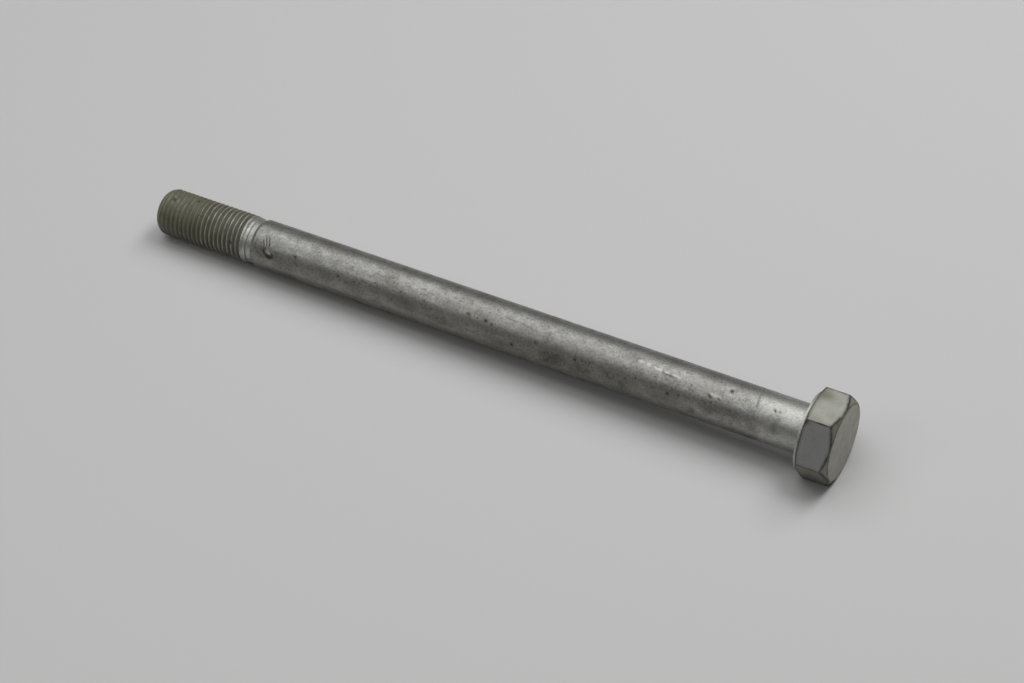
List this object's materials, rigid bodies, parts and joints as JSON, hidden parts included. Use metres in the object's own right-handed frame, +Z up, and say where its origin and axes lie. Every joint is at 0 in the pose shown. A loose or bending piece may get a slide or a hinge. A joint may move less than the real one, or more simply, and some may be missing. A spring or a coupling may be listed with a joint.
{
  "type": "hexagon head bolt",
  "caption": "Long hexagon-head bolt with a washer face, a plain shank and a fine thread behind a rounded point, for clamping deep parts together.",
  "frame": {"origin": "centre of the bearing face under the head, on the bolt's axis", "axes": "+X along the bolt from the tip to the head, as near level as the bolt lies; +Z up, with two of the head's flats facing up and down; +Y across"},
  "size_m": [0.1804, 0.022, 0.0192],
  "materials": {
    "steel": "dull grey plating, worn and grimy"
  },
  "bodies": {
    "root": {"bolt": "steel"}
  },
  "joints": []
}
